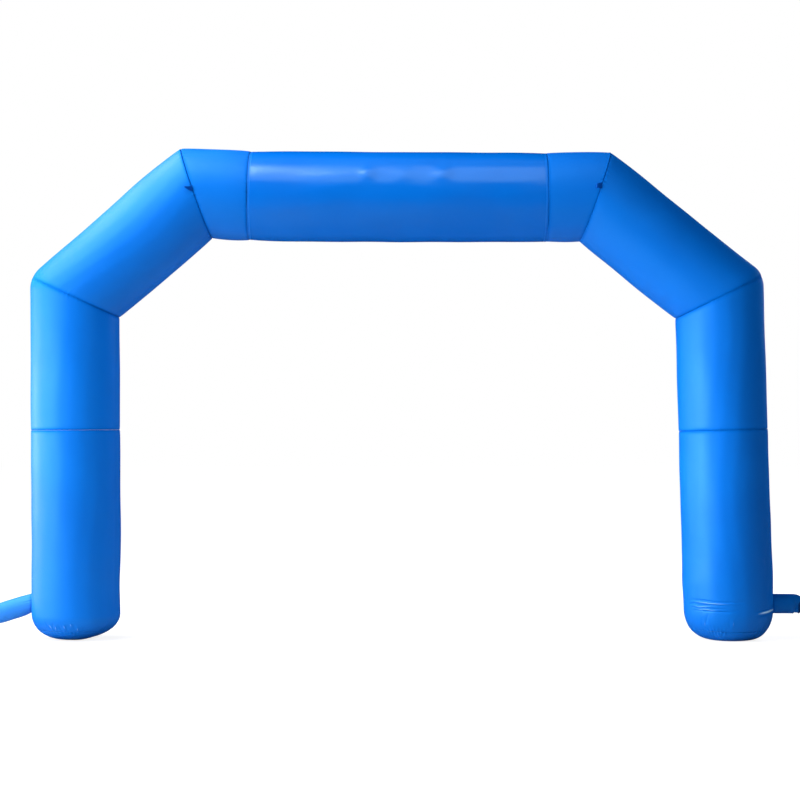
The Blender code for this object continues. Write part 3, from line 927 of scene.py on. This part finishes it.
class Surface(Nodes):
    """A material's nodes, with the way round its piece and along it in metres."""

    def __init__(self, name):
        self.material = bpy.data.materials.new(name)
        super().__init__(self.material)
        self.shader = self.tree.nodes["Principled BSDF"]
        measures = self.add("UVMap", uv_map="metres")
        self.around, self.along = (self.add("SeparateXYZ", {0: measures}, axis) for axis in "XY")

    def math(self, operation, *values):
        return self.add("Math", enumerate(values), operation=operation)

    def product(self, *values):
        return reduce(lambda result, value: self.math("MULTIPLY", result, value), values)

    def total(self, *values):
        return reduce(lambda result, value: self.math("ADD", result, value), values)

    def attribute(self, name):
        return self.add("Attribute", attribute_name=name, output="Fac")

    def ramp(self, value, start, end, low, high):
        """Eases from low to high as the value goes from start to end."""
        inputs = {"Value": value, "From Min": start, "From Max": end, "To Min": low, "To Max": high}
        return self.add("MapRange", inputs, interpolation_type="SMOOTHSTEP")

    def noise(self, low, high, scale, detail=3.0):
        """Noise in the object's own space, spread from low to high."""
        place = self.add("TexCoord", output="Object")
        inputs = {"Vector": place, "Scale": scale, "Detail": detail, "Roughness": 0.5}
        return self.ramp(self.add("TexNoise", inputs), 0.3, 0.7, low, high)

    def wave(self, value, pitch):
        """A sine of this pitch in metres, from -1 to 1."""
        return self.math("SINE", self.product(value, tau / pitch))

    def stitches(self, distance, run):
        """1 on the thread of the rows of stitching beside a seam, along a run in metres."""
        rows = (self.math("COMPARE", distance, at, THREAD_HALF_WIDTH) for at in STITCH_ROWS)
        rows = self.total(*rows)
        stitch = self.math("FRACT", self.math("DIVIDE", run, STITCH_LENGTH))
        return self.product(rows, self.math("LESS_THAN", stitch, STITCH_SHARE))

    def blend(self, share, first, second):
        """Mixes two colours, each an output or (r, g, b)."""
        first, second = ((*c, 1.0) if isinstance(c, tuple) else c for c in (first, second))
        inputs = {0: share, MIX_FIRST: first, MIX_SECOND: second}
        return self.add("Mix", inputs, MIX_RESULT, data_type="RGBA")

    def finish(self, height, **sockets):
        """Bumps the surface by a height in metres, and sets the shader's other sockets."""
        bump = self.add("Bump", {"Strength": 1.0, "Distance": 1.0, "Height": height})
        for name, value in dict(Normal=bump, **sockets).items():
            self.put(self.shader.inputs[name.replace("_", " ")], value)
        return self.material


# A blue cloth: its colours from low to high, its thread, its gloss, how hard and how blue its
# highlight is, how uneven it is, and whether a seam closes it at the back
ClothLook = namedtuple("ClothLook", "deep bright thread roughness specular tint slack closed")

TUBE_CLOTH = ClothLook(
    deep=(0.0, 0.106, 0.5), bright=(0.0, 0.124, 0.552), thread=(0.0, 0.045, 0.26),
    roughness=(0.44, 0.52), specular=0.5, tint=(0.2, 0.6, 0.5), slack=0.00012, closed=True,
)
# The blower sleeve's cloth: the sleeve cloth with colours painted lighter for the light from the left
PAINTED_LIT_SLEEVE_CLOTH = ClothLook(
    deep=(0.018, 0.15, 0.52), bright=(0.026, 0.185, 0.62), thread=(0.0, 0.07, 0.32),
    roughness=(0.55, 0.66), specular=0.4, tint=(0.2, 0.6, 0.5), slack=0.0004, closed=False,
)
CLOTH_LOOKS = {
    "tube_cloth": TUBE_CLOTH,
    "beam_cloth": TUBE_CLOTH._replace(
        roughness=(0.2, 0.25), specular=1.0, tint=(0.6, 0.9, 0.85), slack=0.00008,
    ),
    "painted_lit_sleeve_cloth": PAINTED_LIT_SLEEVE_CLOTH,
    # The vent sleeve's cloth: the same cloth in its own darker colours
    "sleeve_cloth": PAINTED_LIT_SLEEVE_CLOTH._replace(
        deep=(0.0, 0.08, 0.36), bright=(0.0, 0.104, 0.45), thread=(0.0, 0.04, 0.22),
    ),
}
# Painted highlight colour along the crease ridges
PAINTED_HIGHLIGHT_COLOUR = (0.38, 0.64, 0.92)
# Painted shade colour for the seam grooves
PAINTED_GROOVE_SHADE = (0.0, 0.018, 0.12)


def make_cloth(name):
    """Woven, coated cloth with stitching, painted shade in seam grooves and painted highlight on
    crease ridges.
    """
    nodes, look = Surface(name), CLOTH_LOOKS[name]
    seam = nodes.attribute("seam")
    stitches = nodes.stitches(seam, nodes.around)
    if look.closed:
        from_back = nodes.math("ABSOLUTE", nodes.math("SUBTRACT", nodes.around, BACK_SEAM_AT))
        stitches = nodes.math("MAXIMUM", stitches, nodes.stitches(from_back, nodes.along))
    weave = nodes.product(*(nodes.wave(run, WEAVE_PITCH) for run in (nodes.around, nodes.along)))
    tone = nodes.total(nodes.noise(*DRIFT, scale=1.3), nodes.product(weave, WEAVE_TONE))
    colour = nodes.blend(tone, look.deep, look.bright)
    # Painted highlight lightens the colour along the crease ridges
    highlighted = nodes.ramp(nodes.attribute("wear"), start=0.35, end=0.9, low=0.0, high=1.0)
    colour = nodes.blend(highlighted, colour, PAINTED_HIGHLIGHT_COLOUR)
    colour = nodes.blend(stitches, colour, look.thread)
    gloss = nodes.noise(*look.roughness, scale=2.1, detail=4.0)
    return nodes.finish(
        height=nodes.total(
            nodes.product(weave, WEAVE_HEIGHT),
            nodes.product(stitches, STITCH_HEIGHT),
            nodes.noise(-look.slack, look.slack, scale=9.0),
        ),
        # Painted shade darkens the colour in the seam grooves
        Base_Color=nodes.blend(nodes.attribute("shade"), colour, PAINTED_GROOVE_SHADE),
        Roughness=nodes.total(gloss, nodes.ramp(seam, start=0.0, end=0.03, low=0.3, high=0.0)),
        Specular_IOR_Level=nodes.ramp(seam, start=0.006, end=0.035, low=0.15, high=look.specular),
        Specular_Tint=(*look.tint, 1.0),
    )


# Webbing and cord
WEBBING_RIB = 0.0026
WEBBING_TWILL = 0.0032
WEBBING_COLOURS = (0.0, 0.034, 0.24), (0.0, 0.078, 0.44)
BRAID_PITCH = 0.006
CORD_COLOURS = (0.004, 0.012, 0.055), (0.012, 0.045, 0.17)
ROUGHNESS_SCALE = 4 / 3


def make_yarn(nodes, pattern, contrast, height, colours, tones, roughness, scale):
    """Dull woven yarn: a pattern from -1 to 1 gives its colour and its height."""
    tone = nodes.total(nodes.product(pattern, contrast), nodes.noise(*tones, scale, detail=2.0))
    return nodes.finish(
        height=nodes.product(pattern, height),
        Base_Color=nodes.blend(tone, *colours),
        Roughness=nodes.noise(*roughness, scale * ROUGHNESS_SCALE, detail=2.0),
        Specular_IOR_Level=0.3,
        Specular_Tint=(0.15, 0.5, 0.9, 1.0),
    )


def make_webbing(name):
    """Ribbed twill webbing."""
    nodes = Surface(name)
    zigzag = nodes.math("PINGPONG", nodes.around, 2 * WEBBING_RIB)
    twill = nodes.wave(nodes.total(nodes.along, zigzag), WEBBING_TWILL)
    pattern = nodes.total(nodes.wave(nodes.around, WEBBING_RIB), twill)
    return make_yarn(nodes, pattern, contrast=0.2, height=0.00008, colours=WEBBING_COLOURS,
                     tones=(0.3, 0.7), roughness=(0.6, 0.75), scale=30.0)


def make_cord(name):
    """Braided cord: two sets of strands wound opposite ways."""
    nodes = Surface(name)
    turn = nodes.product(nodes.around, 3 * BRAID_PITCH / (tau * CORD_RADIUS))
    right = nodes.wave(nodes.total(nodes.along, turn), BRAID_PITCH)
    left = nodes.wave(nodes.math("SUBTRACT", nodes.along, turn), BRAID_PITCH)
    pattern = nodes.product(right, left)
    return make_yarn(nodes, pattern, contrast=0.3, height=0.0003, colours=CORD_COLOURS,
                     tones=(0.35, 0.65), roughness=(0.65, 0.8), scale=60.0)


# The camera stands in front of the arch and spans this width in the arch's plane
CAMERA_AT = (-0.0142, -17.0, 1.685)
CAMERA_TILT = radians(0.818)
VIEW_WIDTH = 6.4734
VIEW_END = 200.0


def add_camera():
    camera = add_object("camera", bpy.data.cameras.new("camera"))
    camera.data.lens = -camera.data.sensor_width * CAMERA_AT[1] / VIEW_WIDTH
    camera.data.clip_end = VIEW_END
    camera.location = CAMERA_AT
    camera.rotation_euler = (pi / 2 + CAMERA_TILT, 0.0, 0.0)
    bpy.context.scene.camera = camera


# An area light: its direction and distance from a point it is aimed at, its size and watts
Softbox = namedtuple(
    "Softbox", "azimuth elevation distance width height power aim spread shines",
    defaults=((0.0, 0.0, 2.0), 180.0, True),
)

# From the left, then soft fill from the front, the beam's own, the right leg's own, and the back's
SOFTBOXES = (
    Softbox(-80, -2, 9.5, 4, 3, 225),
    Softbox(-60, 0, 10.5, 4, 3, 520),
    Softbox(-105, -3, 9, 3, 3, 218),
    Softbox(-90, 33, 9, 4, 4, 730, shines=False),
    Softbox(-68, 48, 9, 8, 8, 1150),
    Softbox(-115, 45, 9, 3, 3, 150),
    Softbox(-35, 15, 12, 5, 5, 150, shines=False),
    Softbox(30, 15, 12, 5, 5, 343, shines=False),
    Softbox(0, 53, 4.5, 7, 3.64, 82, aim=(-0.4, 0, 3.6)),
    Softbox(0, 90, 4.5, 7, 2.41, 8, aim=(-0.4, 0, 3.6)),
    Softbox(-74, 0, 4.4, 1.8, 2.6, 5, aim=(2.6, 0, 1.5), spread=50),
    Softbox(-60, 0, 4.4, 1.8, 2.6, 15, aim=(2.6, 0, 1.5), spread=50),
    Softbox(130, 15, 10, 4, 4, 735, shines=False),
)


def add_softboxes():
    for box in SOFTBOXES:
        data = bpy.data.lights.new("softbox", "AREA")
        data.shape, data.size, data.size_y = "RECTANGLE", box.width, box.height
        data.energy, data.spread = box.power, radians(box.spread)
        light = add_object("softbox", data)
        turn = Euler((radians(90 - box.elevation), 0.0, radians(box.azimuth)))
        light.location = Vector(box.aim) + turn.to_matrix().col[2] * box.distance
        light.rotation_euler = turn
        light.visible_camera = False
        light.visible_glossy = box.shines


# The surround and the floor look white, and light the arch only a little
AMBIENT = 0.01
FLOOR_HALF = 80.0
FLOOR_DROP = 0.001
FLOOR_ALBEDO = 0.6
SHADOW_ALBEDO = 0.25
NEAR_GLOW, FAR_GLOW = 0.84, 1.0
NEAR_REACH, FAR_REACH = 3.5, 8.0


def floor_material():
    """White floor: it lights the arch from below, and shows only a faint shadow under it."""
    material = bpy.data.materials.new("floor")
    nodes = Nodes(material)
    nodes.tree.nodes.remove(nodes.tree.nodes["Principled BSDF"])
    greys = ((*[albedo] * 3, 1.0) for albedo in (FLOOR_ALBEDO, SHADOW_ALBEDO))
    plain, shown = (nodes.add("BsdfDiffuse", {"Color": grey}) for grey in greys)
    place = nodes.add("TexCoord", output="Object")
    distance = nodes.add("VectorMath", {0: place}, "Value", operation="LENGTH")
    reach = {"Value": distance, "From Min": NEAR_REACH, "From Max": FAR_REACH}
    reach.update({"To Min": NEAR_GLOW, "To Max": FAR_GLOW})
    glow = nodes.add("Emission", {"Strength": nodes.add("MapRange", reach)})
    both = nodes.add("AddShader", {0: glow, 1: shown})
    surface = {0: nodes.add("LightPath", output="Is Camera Ray"), 1: plain, 2: both}
    output = nodes.tree.nodes["Material Output"].inputs["Surface"]
    nodes.put(output, nodes.add("MixShader", surface))
    return material


def add_world():
    world = bpy.data.worlds.new("world")
    bpy.context.scene.world = world
    world.cycles_visibility.glossy = False
    nodes = Nodes(world)
    background = nodes.tree.nodes["Background"].inputs
    background["Color"].default_value = (1.0, 1.0, 1.0, 1.0)
    seen = nodes.add("LightPath", output="Is Camera Ray")
    strength = nodes.add("MapRange", {"Value": seen, "To Min": AMBIENT, "To Max": 1.0})
    nodes.put(background["Strength"], strength)


def add_floor():
    mesh = bpy.data.meshes.new("floor")
    ends = [(-1, -1), (1, -1), (1, 1), (-1, 1)]
    points = [(x * FLOOR_HALF, y * FLOOR_HALF, -FLOOR_DROP) for x, y in ends]
    mesh.from_pydata(points, [], [range(4)])
    mesh.materials.append(floor_material())
    floor = add_object("floor", mesh)
    floor.visible_glossy = False


def main():
    bpy.context.scene.view_settings.view_transform = "Standard"
    add_camera()
    cloth, beam_cloth, painted_lit_sleeve_cloth, sleeve_cloth = (make_cloth(name) for name in CLOTH_LOOKS)
    webbing, cord = make_webbing("webbing"), make_cord("cord")
    for name in PANELS:
        add_panel(name, beam_cloth if name == "beam_centre" else cloth)
    for side in OUTSIDE:
        add_leg(side, cloth)
        add_sole(side, cloth)
        add_tab(side, webbing)
    add_inlet(painted_lit_sleeve_cloth)
    add_vent(sleeve_cloth)
    add_tie(cord)
    add_floor()
    add_softboxes()
    add_world()


main()
